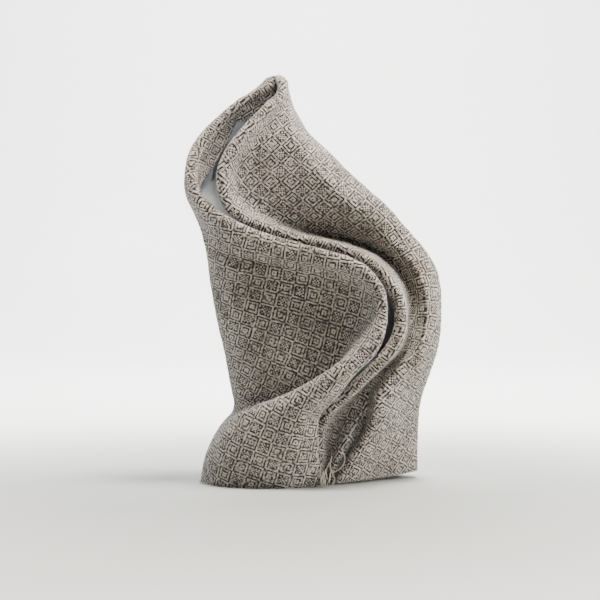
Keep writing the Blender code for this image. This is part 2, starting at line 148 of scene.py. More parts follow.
# %% Back rim and the hollow behind it
BACK_RIM = (
    (0, 3.2, 0.5), (12, 5.5, -2), (22, 6, -3.5), (31, 10, -5), (38, 18, -7), (43, 23.1, -8.5),
    (49, 29.2, -10), (56, 35.6, -11), (63, 39.2, -11), (71, 40, -10.5), (78.6, 39, -9), (85, 35.6, -8),
    (92, 29.5, -6.5), (98, 20.3, -4.5), (102, 8.6, -3.2), (104.6, -3.9, -3), (108, -14.3, -3.5),
    (112, -24, -5), (116, -30, -7.5), (123, -33.6, -10), (131, -33.6, -11), (140, -29.6, -10),
    (149, -22.8, -7.5), (158, -14.7, -3.2), (162, -11.8, -0.4), (166, -10.3, 2.2), (171, -11, 4.8))
HOLLOW = (
    (45, 28, 4), (57, 39, 4), (73, 41.5, 9), (85, 40.5, 13), (92, 37, 16), (98, 31, 17), (102, 21, 15),
    (104.6, 11, 13), (108, -1, 11), (112, -12, 9), (116, -19.5, 7), (123, -25, 5), (131, -26, 3.5),
    (140, -24, 1), (149, -19.5, -1), (158, -13.8, 0.5), (166, -11.5, 4.5), (171, -11.4, 6.5))
print("back rim from", BACK_RIM[0][1], "to", BACK_RIM[-1][1], "mm across")

# %% [markdown]
# ## From lines to a sheet
# A sheet through lines is a loft. Blender's bridge joins loops in straight steps, so a smooth curve is
# worked out through the listed places. It hardly swings past them, which keeps a tight fold tight.

# %% Curves
def curve(knots, values, at):
    """Smooth curve through the values at the knots."""
    knots = np.asarray(knots, float)
    at = np.clip(np.atleast_1d(np.asarray(at, float)), knots[0], knots[-1])
    values = np.asarray(values, float).reshape(len(knots), -1)
    span = np.diff(knots)
    chord = np.diff(values, axis=0) / span[:, None]
    share = (span[:-1] / (span[:-1] + span[1:]))[:, None]
    slope = np.vstack([chord[:1], chord[:-1] * (1 - share) + chord[1:] * share, chord[-1:]])
    i = np.clip(np.searchsorted(knots, at, side="right") - 1, 0, len(span) - 1)
    h = span[i][:, None]
    t = ((at - knots[i]) / span[i])[:, None]
    start = (1 + 2 * t) * (1 - t) ** 2 * values[i] + t * (1 - t) ** 2 * h * slope[i]
    end = t * t * (3 - 2 * t) * values[i + 1] - t * t * (1 - t) * h * slope[i + 1]
    return start + end


def line(table, heights):
    """Places along one line of the cloth at the heights."""
    rows = np.array(table, float)
    return curve(rows[:, 0], rows[:, 1:], heights)


print("front rim half way up:", line(FRONT_RIM, 85)[0])

# %% Blends
def ease(x, low, high):
    """Smooth step from 0 to 1, as a column."""
    t = np.clip((np.asarray(x, float) - low) / (high - low), 0, 1)
    return (t * t * (3 - 2 * t))[:, None]


def bow(start, middle, end, share):
    """A bent line from start to end that leans on middle."""
    return (1 - share) ** 2 * start + 2 * share * (1 - share) * middle + share ** 2 * end


def sag(start, first, second, end, share):
    """A bent line from start to end with two handles."""
    rest = 1 - share
    near = rest ** 3 * start + 3 * rest ** 2 * share * first
    return near + 3 * rest * share ** 2 * second + share ** 3 * end


def fold_lines(tables, heights, gone, plain):
    """Lines of a fold. Between the two heights of gone, they ease into a plain bend."""
    away = ease(heights, *gone)
    lines = []
    for number, table in enumerate(tables, 1):
        simple = plain(number / (len(tables) + 1))
        lines.append(line(table, heights) * (1 - away) + simple * away)
    return lines


print("a quarter of the way up a step:", ease([0.25], 0, 1)[0, 0])

# %% [markdown]
# ## Sections
# Cut level, the roll shows one line, from the front rim around the left side and the back to the back
# rim. The cuff and the pleat are folds of the foot, so higher up their lines give way to a plain bend.
# The lining spans the pleat and the ridge above it, as a second layer does.

# %% Heights between which a fold comes or goes
CUFF_GONE = (90, 102)
PLEAT_GONE = (46, 64)
CREST_LEANS = (146, 160)
RIDGE_COMES = (40, 56)
RIDGE_GOES = (104, 118)
PLEAT_SPANNED = (44, 60)
print("the cuff ends at", CUFF_GONE[1], "mm and the pleat at", PLEAT_GONE[1], "mm")

# %% Sections
def sections(heights, bridged=False):
    """Plan places of every line at the heights. A bridged sheet spans the pleat."""
    front_rim, back_rim = line(FRONT_RIM, heights), line(BACK_RIM, heights)
    left, shoulder = line(LEFT_EDGE, heights), line(SHOULDER, heights)
    right, right_front = line(RIGHT_EDGE, heights), line(RIGHT_FRONT, heights)
    hollow = line(HOLLOW, heights)
    if bridged:
        ridge = ease(heights, *RIDGE_COMES) * (1 - ease(heights, *RIDGE_GOES))
        right_front = right_front + ridge * np.array([1.0, 5.0])
        right = right + ridge * np.array([-0.5, 0.0])
    cuff = (LIP_FRONT, LIP_BORDER, CUFF_INSIDE, CUFF_VALLEY, PANEL_RIGHT, PANEL_LEFT)
    rows = [front_rim]
    rows += fold_lines(cuff, heights, CUFF_GONE, lambda share: bow(front_rim, shoulder, left, share))
    rows += [left] + [line(table, heights) for table in (BACK_LEFT, BACK_MID, BACK_RIGHT)]
    rows += [right, right_front]
    crest = right_front + (back_rim - right_front) * np.array([0.35, 0.0])
    crest = crest + (back_rim - right_front) * np.array([0.0, 0.4]) * ease(heights, *CREST_LEANS)
    deep = hollow + (hollow - back_rim) * np.array([0.0, 0.3])
    pleat = (PLEAT_LIP, PLEAT_DEEP, PLEAT_CREST, PLEAT_FAR, RIDGE_BACK)
    rows += fold_lines(pleat, heights, PLEAT_GONE,
                       lambda share: sag(right_front, crest, deep, back_rim, share))
    rows.append(back_rim)
    if bridged:
        span_pleat(rows, heights)
    return np.array(rows)


def span_pleat(rows, heights):
    """The lines of the pleat moved back and drawn together, for a layer behind it."""
    behind = 1 - ease(heights, *PLEAT_SPANNED)
    lip, deep, crest, far = range(-6, -2)
    rows[lip] = rows[lip] + behind * np.array([2.5, 3.0])
    rows[deep] = rows[deep] + behind * np.array([1.0, 1.5])
    rows[far] = rows[far] + behind * np.array([-0.5, 1.5])
    middle = 0.5 * (rows[deep] + rows[far]) + np.array([0, 0.8])
    rows[crest] = rows[crest] * (1 - behind) + middle * behind


print("lines in a section:", len(sections(np.array([85.0]))))

# %% [markdown]
# ## Rows and columns
# A grid shades well only if it is even. The rows lie closer together where the rims run nearly level, and
# the columns share out the length between two lines. The second column from each rim follows the
# lining's edge, so that the two layers can be set against each other.

# %% Sizes of the grid
LINING_TOP = 157.0
LINING_EDGE = 2.2
EDGE_FADE = 9
EDGE_COLUMNS = 5
PARTS = 8
LEAST_GAP = 0.5
STEPS = (2, 2, 2, 2, 2, 2, 2, 3, 3, 3, 3, 3, 3, 2, 2, 2, 2, 2)
print("columns:", sum(STEPS) + 1)

# %% Columns
def spaced(points, knots, steps, seam):
    """Columns along one section, the second and the last but one at the seam line."""
    fine = [np.linspace(start, end, PARTS + 1)[:-1] for start, end in zip(knots, knots[1:])]
    fine = np.append(np.concatenate(fine), knots[-1])
    dense = curve(knots, points, fine)
    lengths = np.concatenate([[0], np.cumsum(np.linalg.norm(np.diff(dense, axis=0), axis=1))])
    at = [0.0]
    for number, count in enumerate(steps):
        start, end = lengths[PARTS * number], lengths[PARTS * (number + 1)]
        at += list(start + (end - start) * (np.arange(count) + 1) / count)
    at = np.array(at)
    total = at[-1]
    fade = np.clip(1 - (np.arange(len(at)) - 1) / EDGE_COLUMNS, 0, 1)
    if seam:
        at = at + (seam - at[1]) * fade - (at[-2] - total + seam) * fade[::-1]
    at[0], at[-1] = 0, total
    return np.column_stack([np.interp(at, lengths, dense[:, axis]) for axis in range(3)])


print("gaps between lines:", len(STEPS))

# %% The sheet
# How far each line is raised at the foot and at the tip, in the order of the sections
FOOT_LIFT = (0, 0, 0, 0, 0, 0, 0, 0, 0, 0, 1.2, 3, 1.6, 0.5, 0, 0, 0, 0, 0)
TIP_LIFT = (0, 0, 0.1, 0.2, 0.3, 0.4, 0.5, 0.6, 0.8, 1, 1.2, 1.1, 0.8, 0.4, 0, -0.3, -0.6, -0.8, -1)
FOOT_TOP = 16
HOOD_START, HOOD_TOP = 156.0, 169.0


def sheet(heights, steps, bridged=False):
    """Middle surface of the cloth: rows, columns, and across, depth and height."""
    places = sections(heights, bridged)
    foot = 1 - ease(heights, 0, FOOT_TOP)[:, 0]
    hood = np.clip((heights - HOOD_START) / (HOOD_TOP - HOOD_START), 0, 1)
    rows = []
    for row, height in enumerate(heights):
        plan = places[:, row]
        lift = np.array(FOOT_LIFT) * foot[row] + np.array(TIP_LIFT) * hood[row]
        points = np.column_stack([plan, height + lift])
        gaps = np.maximum(np.linalg.norm(np.diff(plan, axis=0), axis=1), LEAST_GAP) ** 0.5
        knots = np.concatenate([[0], np.cumsum(gaps)])
        seam = LINING_EDGE * (1 - ease([height], LINING_TOP, LINING_TOP + EDGE_FADE)[0, 0])
        rows.append(spaced(points, knots, steps, seam))
    return np.array(rows)


print("the foot rises by", max(FOOT_LIFT), "mm at the right")

# %% Rows
FACE_ROWS = 44
RIM_SAMPLES = 600
HOOD_CROWDING = 1.5


def row_heights():
    """Heights of the rows, closer together where the rims run nearly level."""
    fine = np.linspace(0, HOOD_TOP, RIM_SAMPLES)
    rim = np.column_stack([line(FRONT_RIM, fine), fine])
    length = np.concatenate([[0], np.cumsum(np.linalg.norm(np.diff(rim, axis=0), axis=1))])
    density = length + fine + HOOD_CROWDING * np.clip(fine - HOOD_START, 0, None)
    return np.interp(np.linspace(0, density[-1], FACE_ROWS), density, fine)


heights = row_heights()
cloth = sheet(heights, STEPS)
print("sheet", cloth.shape)

# %% [markdown]
# ## Layers that lie on each other
# Each cloth is a thin wall around a middle surface. Solidify can thicken one sheet, but it can't keep two
# layers apart in a fold. So the directions square to the sheet are worked out here, and a layer is eased
# off wherever it is nearer than its distance.

# %% Directions
LONGEST = 1.6


def unit(vectors):
    """The directions at length 1."""
    return vectors / np.maximum(np.linalg.norm(vectors, axis=-1, keepdims=True), 1e-9)


def normals(points, longest=LONGEST):
    """Directions square to a grid of points, towards the inside of the tube. They are
    longer at a bend, so that a moved grid keeps its distance from the flat faces."""
    flat = unit(np.cross(points[1:, 1:] - points[:-1, :-1], points[1:, :-1] - points[:-1, 1:]))
    around = np.zeros((4,) + points.shape)
    rows, columns = flat.shape[:2]
    for layer, (row, column) in zip(around, ((0, 0), (0, 1), (1, 0), (1, 1))):
        layer[row:row + rows, column:column + columns] = flat
    mean = unit(around.sum(axis=0))
    used = np.linalg.norm(around, axis=-1) > 0.5
    lean = np.where(used, np.sum(around * mean, axis=-1), 1).min(axis=0)
    return mean / np.clip(lean, 1 / longest, 1)[..., None]


inward = normals(cloth)
print("longest direction at a bend:", round(float(np.linalg.norm(inward, axis=-1).max()), 2))

# %% Distance from a sheet
def surface(points):
    """Search tree of a grid of points. Its normals look into the tube."""
    rows, columns = points.shape[:2]
    index = np.arange(rows * columns).reshape(rows, columns)
    corners = (index[:-1, :-1], index[:-1, 1:], index[1:, 1:], index[1:, :-1])
    faces = np.stack([corner.ravel() for corner in corners], axis=1)
    return BVHTree.FromPolygons(points.reshape(-1, 3).tolist(), faces.tolist())


def settled(points, tree, depth, passes):
    """The sheet eased off the surface wherever it comes nearer than its depth there."""
    depth = np.broadcast_to(depth, points.shape[:2])
    for step in range(passes):
        close = np.zeros(points.shape[:2], bool)
        for spot in np.ndindex(close.shape):
            point = Vector(points[spot])
            place, normal = tree.find_nearest(point)[:2]
            apart = point - place
            if depth[spot] == 0 or (apart.dot(normal) > 0 and apart.length >= depth[spot]):
                continue
            side = apart.normalized() if apart.dot(normal) > 0 else normal
            points[spot] = place + side * depth[spot]
            close[spot] = True
        if step == passes - 1:
            return points
        close[:, 1:-1] |= close[:, 2:] | close[:, :-2]
        close[:, 0] = close[:, -1] = False
        mean = points.copy()
        mean[:, 1:-1] = 0.25 * points[:, :-2] + 0.5 * points[:, 1:-1] + 0.25 * points[:, 2:]
        points[close] = mean[close]


tree = surface(cloth)
print("search tree over", cloth.shape[0] * cloth.shape[1], "points")

# %% [markdown]
# ## The lining
# The lining is a second cloth, sewn inside the first and tucked under its turned edges. The same sheet
# moved inwards would cross itself in the pleat, so it spans the pleat and settles against the face cloth
# everywhere else.

# %% Middle surface of the lining
FACE_WALL = 1.2
LINING_WALL = 1.0
SEAM_GAP = 0.3
LINING_DEPTH = 0.5 * FACE_WALL + SEAM_GAP + 0.5 * LINING_WALL + 0.12
SLACK = 0.05
LINING_FOOT = 1
LINING_PASSES = 30
# Fewer columns across the pleat, which the lining spans
LINING_STEPS = STEPS[:11] + (2, 1) + STEPS[13:]
SPANNED_BELOW, SPANNED_COLUMNS = 40, slice(-10, -3)

lined = heights[(heights > LINING_FOOT) & (heights < LINING_TOP)]
bridge = sheet(lined, LINING_STEPS, bridged=True)
inside = (bridge + normals(bridge) * LINING_DEPTH)[:, 1:-1]
depth = np.full(inside.shape[:2], LINING_DEPTH - SLACK)
depth[lined < SPANNED_BELOW, SPANNED_COLUMNS] = 0
inside = settled(inside, tree, depth, LINING_PASSES)
print("lining grid", inside.shape)

# %% [markdown]
# ## Turned edges
# The rims are soft because the cloth is turned in: it curls, and a narrow facing then lies against the
# lining. A tube along the rim would look like a cord, so the cloth itself runs on around a curl and back.

# %% Sizes of the roll and the facing
# Rows name the height, the size of the front and of the back roll, and the facing width
ROLL = (
    (0, 0.64, 0.64, 5), (31, 0.64, 0.64, 5), (43, 0.62, 0.62, 2.4), (50, 0.6, 0.62, 1.4),
    (60, 0.6, 0.62, 1.8), (72, 0.6, 0.62, 2.4), (85, 0.62, 0.62, 3.2), (95, 0.7, 0.64, 3),
    (105, 0.75, 0.64, 3.2), (116, 0.8, 0.68, 4), (124, 0.8, 0.74, 6), (131, 0.8, 0.8, 9),
    (150, 0.75, 0.7, 9), (158, 0.66, 0.64, 4), (163, 0.55, 0.5, 1.4), (169, 0.5, 0.5, 1))
# Rows name how far past the edge the turned cloth stands, and how far in
CURL = ((1.5, 0.3), (2.7, 1.2), (3.1, 2.7), (2.6, 4.1), (1.2, 4.9), (-0.6, 4.9))
FACING_SHARES = (0.35, 0.65, 1.0)
FACING_DEPTH = 2 * LINING_DEPTH + 0.4
TURNED = len(CURL) + len(FACING_SHARES)
print("columns turned in at each rim:", TURNED)

# %% Turned edges
EVENINGS = 3


def turned_edge(points, inward, heights, first, tree):
    """Curl and facing added past one end of every row, outermost column last."""
    grid = points if first else points[:, ::-1]
    side = unit(inward[:, 0] if first else inward[:, -1])
    sizes = line(ROLL, heights)
    size = sizes[:, 0] if first else sizes[:, 1]
    width = sizes[:, 2]
    up = unit(np.gradient(grid[:, 0], axis=0))
    out = grid[:, 0] - grid[:, 1]
    out = unit(out - up * np.sum(out * up, axis=1, keepdims=True))
    extra = [grid[:, 0] + (out * past + side * deep) * size[:, None] for past, deep in CURL]
    # Above the lining the facing lies on the face cloth itself
    bare = ease(heights, LINING_TOP + 1, LINING_TOP + 6)[:, 0]
    rest = FACING_DEPTH * (1 - bare) + (FACE_WALL + SEAM_GAP) * bare
    for share in FACING_SHARES:
        lift = rest + np.maximum(CURL[-1][1] * size - rest, 0) * (1 - share) ** 1.5
        spots = grid[:, 0] - out * (width * share)[:, None] + side * lift[:, None]
        for _ in range(EVENINGS):
            spots = settled(spots[:, None], tree, rest[:, None], 1)[:, 0]
            even = 0.25 * spots[:-2] + 0.5 * spots[1:-1] + 0.25 * spots[2:]
            spots[1:-1] += (even - spots[1:-1]) * (1 - bare[1:-1, None])
        extra.append(settled(spots[:, None], tree, rest[:, None] * (bare[:, None] < 0.1), 1)[:, 0])
    return extra


front = turned_edge(cloth, inward, heights, True, tree)
back = turned_edge(cloth, inward, heights, False, tree)
full = np.concatenate([np.stack(front[::-1], 1), cloth, np.stack(back, 1)], axis=1)
full[0, :TURNED, 2] = full[0, -TURNED:, 2] = 0
full[0, :, 2] = np.maximum(full[0, :, 2], 0)
print("face grid", full.shape)

# %% [markdown]
# ## The tip
# The corner of the square is the top of the cornet, where the turned edges meet in a soft point. One face
# over the hole would shade as a flat lid, so a few more rows gather towards the middle and rise.

# %% Rows that close the tip
# Rows name how far the cloth rises past the last row, and how far it gathers to the middle
CAP = ((0.8, 0.12), (1.5, 0.27), (2.1, 0.45), (2.5, 0.65), (2.7, 0.85))
top = full[-1]
centre = top[TURNED:-TURNED].mean(axis=0)
for rise, gather in CAP:
    row = top + (centre - top) * gather
    row[:, 2] = top[:, 2] + (centre[2] - top[:, 2]) * gather + rise
    full = np.concatenate([full, row[None]], axis=0)
print("the tip is at", round(float(full[..., 2].max()), 1), "mm")

# %% [markdown]
# ## Finer cloth
# The coarse grid is settled first, because a fine one would be slow, and is then refined four times each
# way with the same smooth curve. Subdivision Surface would pull the form in and off the solid.

# %% Finer grid
FINER = 4


def refined(grid, times):
    """A smooth grid through the given one, with more rows and then more columns."""
    for _ in range(2):
        rows, columns = grid.shape[:2]
        at = np.linspace(0, rows - 1, (rows - 1) * times + 1)
        grid = curve(np.arange(rows), grid.reshape(rows, -1), at)
        grid = grid.reshape(len(at), columns, -1).transpose(1, 0, 2)
    return grid


fine = refined(full, FINER)
print("fine face grid", fine.shape)

# %% Meshes from grids
def mesh_piece(name, verts, faces):
    """A mesh object from points in millimetres of the tables, moved into the frame."""
    mesh = bpy.data.meshes.new(name)
    mesh.from_pydata([tuple(v) for v in (np.asarray(verts) + SHIFT) * MM], [], faces)
    mesh.validate()
    thing = bpy.data.objects.new(name, mesh)
    bpy.context.scene.collection.objects.link(thing)
    mesh.shade_smooth()
    return thing


def grid_faces(rows, columns, start=0):
    """Quads of a grid of points, facing along the grid's outer side."""
    index = start + np.arange(rows * columns).reshape(rows, columns)
    quads = np.stack([index[:-1, :-1], index[1:, :-1], index[1:, 1:], index[:-1, 1:]], axis=-1)
    return [tuple(int(i) for i in quad) for quad in quads.reshape(-1, 4)]


print("quads on each side:", (fine.shape[0] - 1) * (fine.shape[1] - 1))

# %% A closed cloth
def corner_points(mesh):
    """The point that each face corner of a mesh stands on."""
    corner = np.empty(len(mesh.loops), np.int32)
    mesh.loops.foreach_get("vertex_index", corner)
    return corner


def cloth_piece(name, points, inward, thickness, flat):
    """A closed thin cloth around a grid of middle points. flat holds its place on the uncut cloth."""
    rows, columns = points.shape[:2]
    count = rows * columns
    outer = points - inward * (0.5 * thickness)
    inner = points + inward * (0.5 * thickness)
    outer[0, :, 2] = inner[0, :, 2] = np.maximum(points[0, :, 2], 0)
    faces = grid_faces(rows, columns)
    faces += [quad[::-1] for quad in grid_faces(rows, columns, count)]
    index = np.arange(count).reshape(rows, columns)
    loop = np.concatenate([index[0, :], index[1:, -1], index[-1, -2::-1], index[-2:0:-1, 0]])
    for start, end in zip(loop, np.roll(loop, -1)):
        faces.append((int(start), int(end), int(end) + count, int(start) + count))
    thing = mesh_piece(name, np.concatenate([outer.reshape(-1, 3), inner.reshape(-1, 3)]), faces)
    layer = thing.data.uv_layers.new(name="weave")
    places = np.concatenate([flat.reshape(-1, 2), flat.reshape(-1, 2)])
    layer.data.foreach_set("uv", places[corner_points(thing.data)].ravel())
    return thing


print("walls", FACE_WALL, "and", LINING_WALL, "mm thick")

# %% [markdown]
# ## The flat cloth
# Cloth is woven flat, so its pattern has to run as it did before the cloth was rolled. A projection would
# smear it around the bends. Blender's unwrap with the least stretch lays the middle surface flat, and the
# result is scaled to millimetres and turned, so that the yarns run along the front rim.

# %% Flatten a grid
UNWRAP_STEPS = 30


def flattened(grid, name):
    """Places of a grid's points on the flat cloth, in millimetres."""
    rows, columns = grid.shape[:2]
    thing = mesh_piece(name, grid.reshape(-1, 3), grid_faces(rows, columns))
    thing.data.uv_layers.new(name="flat")
    bpy.ops.object.select_all(action="DESELECT")
    thing.select_set(True)
    bpy.context.view_layer.objects.active = thing
    bpy.ops.object.mode_set(mode="EDIT")
    bpy.ops.mesh.select_all(action="SELECT")
    bpy.ops.uv.unwrap(method="MINIMUM_STRETCH", margin=0, iterations=UNWRAP_STEPS)
    bpy.ops.object.mode_set(mode="OBJECT")
    corner = corner_points(thing.data)
    uv = np.empty(len(corner) * 2, np.float32)
    thing.data.uv_layers["flat"].data.foreach_get("uv", uv)
    flat = np.zeros((rows * columns, 2))
    flat[corner] = uv.reshape(-1, 2)
    bpy.data.objects.remove(thing, do_unlink=True)
    flat = flat.reshape(rows, columns, 2)
    real = np.linalg.norm(np.diff(grid, axis=0), axis=2).sum()
    return flat * (real / np.linalg.norm(np.diff(flat, axis=0), axis=2).sum())


flat = flattened(full, "flattening")
print("flat face cloth, in mm:", np.ptp(flat.reshape(-1, 2), axis=0).round(1))

# %% Turn the yarns along the rim
# Heights of two points of the front rim that a yarn joins
YARN_HEIGHTS = (95, 101)


def squared(flat, row, column, along):
    """The flat cloth turned so that the line from one point to another runs up, at the origin."""
    way = flat[along, column] - flat[row, column]
    turn = 0.5 * math.pi - math.atan2(way[1], way[0])
    spin = np.array([[math.cos(turn), -math.sin(turn)], [math.sin(turn), math.cos(turn)]])
    return (flat - flat[row, column]) @ spin.T


low, high = np.searchsorted(heights, YARN_HEIGHTS)
flat = squared(flat, low, TURNED, high)
print("its lowest corner", flat.reshape(-1, 2).min(axis=0).round(1))

# %% [markdown]
# ## Nodes
# A woven pattern is a rule, so it is built from nodes, which stay sharp where an image would blur. Colours
# are typed as the sRGB hex values that a picker shows, and one function turns them to linear values.
# Pattern scales are in millimetres of the flat cloth.

# %% Colours
def linear(code):
    """Linear colour of an sRGB hex value."""
    parts = [int(code[i:i + 2], 16) / 255 for i in (1, 3, 5)]
    return [p / 12.92 if p <= 0.04045 else ((p + 0.055) / 1.055) ** 2.4 for p in parts] + [1.0]


print("mid grey is", round(linear("#808080")[0], 3), "in linear values")

# %% Materials and nodes
def new_material(name, **constants):
    """A material, its node tree and its shader, with constants on the shader's own sockets."""
    material = bpy.data.materials.new(name)
    material.use_nodes = True
    shader = material.node_tree.nodes["Principled BSDF"]
    for key, value in constants.items():
        shader.inputs[key.replace("_", " ")].default_value = value
    return material, material.node_tree, shader


def add(tree, kind, *values, out=0, at=(), stops=(), blend="LINEAR", **settings):
    """The output of one new node. Values go into its inputs in turn, and those of at by number. A
    setting goes into the input of its name, or to the node. Stops are (place, brightness) of a ramp."""
    node = tree.nodes.new("ShaderNode" + kind)
    given = list(enumerate(values)) + list(at)
    for key, value in settings.items():
        if key in node.inputs:
            given.append((key, value))
        else:
            setattr(node, key, value)
    for key, value in given:
        if isinstance(value, bpy.types.NodeSocket):
            tree.links.new(value, node.inputs[key])
        else:
            node.inputs[key].default_value = value
    if stops:
        node.color_ramp.interpolation = blend
        for place, level in stops[2:]:
            node.color_ramp.elements.new(place)
        for element, (place, level) in zip(node.color_ramp.elements, stops):
            element.position = place
            element.color = (level, level, level, 1)
    return node.outputs[out]


def two_tone(tree, place, scale, detail, low, high, codes):
    """Colour that drifts between two over the flat cloth, as dyed yarn does."""
    patch = add(tree, "TexNoise", place, Scale=scale, Detail=detail)
    share = add(tree, "ValToRGB", patch, stops=((low, 0.0), (high, 1.0)))
    first, second = map(linear, codes)
    return add(tree, "Mix", share, at=((6, first), (7, second)), data_type="RGBA", out=2)


print("materials so far:", len(bpy.data.materials))

# %% [markdown]
# ## Jacquard
# A jacquard loom lifts each warp yarn by itself, so every crossing shows either the pale or the dark
# yarn. The cloth is a checkerboard of two squares, one of nested rings and one of small dots in a frame.
# The nodes work as the loom does: they number the yarns both ways, find how far a crossing is from the
# middle of its square, and choose the yarn there.

# %% Sizes of the pattern
# One square is 5.6 mm wide. Real yarns are about 0.3 mm apart, which is too fine to show, so they are
# drawn 0.6 mm apart, nine to a square.
PITCH = 5.6
YARNS = 9
# Share of pale yarn on each ring of yarns, from the middle of the square outwards
RINGS = (0.1, 0.95, 0.1, 0.85, 0.0)
FIELD = (0.45, 0.45, 0.45, 0.1, 0.9)
DOT_RINGS = 2.5
# Cloth is never quite square: its yarns wander by up to about half a millimetre
WANDER, WANDER_SCALE = 1.1, 0.25
print("yarn spacing", round(PITCH / YARNS, 2), "mm")

# %% Yarns and squares
def yarn_grid(tree, place):
    """For both ways across the cloth: yarn coordinate, yarn number, square number, distance."""
    found = []
    for axis in (0, 1):
        along = add(tree, "SeparateXYZ", place, out=axis)
        step = add(tree, "Math", along, YARNS / PITCH, operation="MULTIPLY")
        whole = add(tree, "Math", step, operation="FLOOR")
        middle = add(tree, "Math", whole, 0.5, operation="ADD")
        repeat = add(tree, "Math", middle, float(YARNS), operation="DIVIDE")
        square = add(tree, "Math", repeat, operation="FLOOR")
        away = add(tree, "Math", add(tree, "Math", repeat, operation="FRACT"), 0.5, operation="SUBTRACT")
        found.append((step, whole, square, add(tree, "Math", away, operation="ABSOLUTE")))
    return list(zip(*found))


def by_ring(tree, reach, levels):
    """One level for each ring of yarns around the middle of a square."""
    stops = [(max(0.0, (ring - 0.5) / YARNS), level) for ring, level in enumerate(levels)]
    return add(tree, "ValToRGB", reach, stops=stops, blend="CONSTANT")


def alternate(tree, pair):
    """0 and 1 in turn, as on a checkerboard, from a pair of numbers."""
    return add(tree, "Math", add(tree, "Math", *pair, operation="ADD"), 2.0, operation="FLOORED_MODULO")


print("rings in a square:", len(RINGS))

# %% The woven figure
def figure(tree, yarns, squares, reaches):
    """How much pale yarn shows at each crossing."""
    reach = add(tree, "Math", *reaches, operation="MAXIMUM")
    kind = alternate(tree, squares)
    other = add(tree, "Math", 1.0, kind, operation="SUBTRACT")
    within = add(tree, "Math", reach, DOT_RINGS / YARNS, operation="LESS_THAN")
    check = add(tree, "Math", alternate(tree, yarns), 0.5, operation="SUBTRACT")
    dotted = add(tree, "Math", within, check, by_ring(tree, reach, FIELD), operation="MULTIPLY_ADD")
    ringed = add(tree, "Math", by_ring(tree, reach, RINGS), other, operation="MULTIPLY")
    return add(tree, "Math", dotted, kind, ringed, operation="MULTIPLY_ADD")


def uneven(tree, pattern, place, yarns):
    """The figure broken up: by chance at each crossing, and by thick and thin places of the yarn."""
    crossing = add(tree, "CombineXYZ", *yarns)
    chance = add(tree, "TexWhiteNoise", crossing, noise_dimensions="2D")
    slub = add(tree, "TexNoise", place, Scale=0.85, Detail=3.0)
    for value, middle, strength in ((chance, 0.55, 1.0), (slub, 0.53, 1.8)):
        away = add(tree, "Math", value, middle, operation="SUBTRACT")
        pattern = add(tree, "Math", away, strength, pattern, operation="MULTIPLY_ADD")
    return add(tree, "ValToRGB", pattern, stops=((0.0, 0.0), (1.0, 1.0)))


print("two figures in turn, one per square of", PITCH, "mm")

# %% Jacquard
# Both yarns are dyed cotton, which varies in tone over centimetres. The height is rounded over each yarn,
# and the pale yarns float above the dark ones, so the bump breaks the light as a real weave does. Cotton
# is rough and has a weak, soft sheen from its fibres, and hardly any gloss.
RELIEF, RELIEF_STRENGTH = 0.26, 0.8
FLOAT = 0.7


def jacquard(name, light, dark):
    """Two kinds of square in a checkerboard: nested rings, and a framed field of small dots."""
    material, tree, shader = new_material(
        name, Roughness=0.88, Specular_IOR_Level=0.2, Sheen_Weight=0.25, Sheen_Roughness=0.5)
    place = add(tree, "UVMap", uv_map="weave")
    drift = add(tree, "TexNoise", place, Scale=WANDER_SCALE, Detail=3.0, out="Color")
    drift = add(tree, "VectorMath", drift, (0.5, 0.5, 0.5), operation="SUBTRACT")
    place = add(tree, "VectorMath", drift, (WANDER, WANDER, WANDER), place, operation="MULTIPLY_ADD")
    steps, yarns, squares, reaches = yarn_grid(tree, place)
    pattern = uneven(tree, figure(tree, yarns, squares, reaches), place, yarns)
    deep = two_tone(tree, place, 0.11, 1.0, 0.4, 0.6, dark)
    bright = two_tone(tree, place, 0.05, 2.0, 0.35, 0.65, light)
    tone = add(tree, "Mix", pattern, at=((6, deep), (7, bright)), data_type="RGBA", out=2)
    tree.links.new(tone, shader.inputs["Base Color"])
    ridges = []
    for step in steps:
        wave = add(tree, "Math", add(tree, "Math", step, math.pi, operation="MULTIPLY"), operation="SINE")
        ridges.append(add(tree, "Math", wave, operation="ABSOLUTE"))
    height = add(tree, "Math", *ridges, operation="MULTIPLY")
    height = add(tree, "Math", pattern, FLOAT, height, operation="MULTIPLY_ADD")
    bump = add(tree, "Bump", Height=height, Strength=RELIEF_STRENGTH, Distance=RELIEF * MM)
    tree.links.new(bump, shader.inputs["Normal"])
    return material


face_material = jacquard("Cotton jacquard", ("#BBB2A6", "#D4CCC0"), ("#261C25", "#27201D"))
print(face_material.name, "has", len(face_material.node_tree.nodes), "nodes")

# %% [markdown]
# ## Lining cloth
# The lining is a smooth, closely woven grey cotton. Its threads are too fine to count, so it has only a
# faint grain in the light and a slow change of tone. A flat grey would look like paper.

# %% Sateen
# Threads half a millimetre apart are about twice as coarse as real ones, so that the grain shows at all
THREAD_STEP = 0.5


def plain_weave(name, colors):
    """Smooth plain weave with a faint grain and a slow change of tone."""
    material, tree, shader = new_material(name, Roughness=0.7, Sheen_Weight=0.2)
    place = add(tree, "UVMap", uv_map="weave")
    waves = []
    for axis in (0, 1):
        turn = add(tree, "SeparateXYZ", place, out=axis)
        turn = add(tree, "Math", turn, math.tau / THREAD_STEP, operation="MULTIPLY")
        waves.append(add(tree, "Math", turn, operation="SINE"))
    grain = add(tree, "Math", *waves, operation="MULTIPLY")
    tree.links.new(two_tone(tree, place, 0.1, 4.0, 0.3, 0.7, colors), shader.inputs["Base Color"])
    bump = add(tree, "Bump", Height=grain, Strength=0.2, Distance=0.05 * MM)
    tree.links.new(bump, shader.inputs["Normal"])
    return material


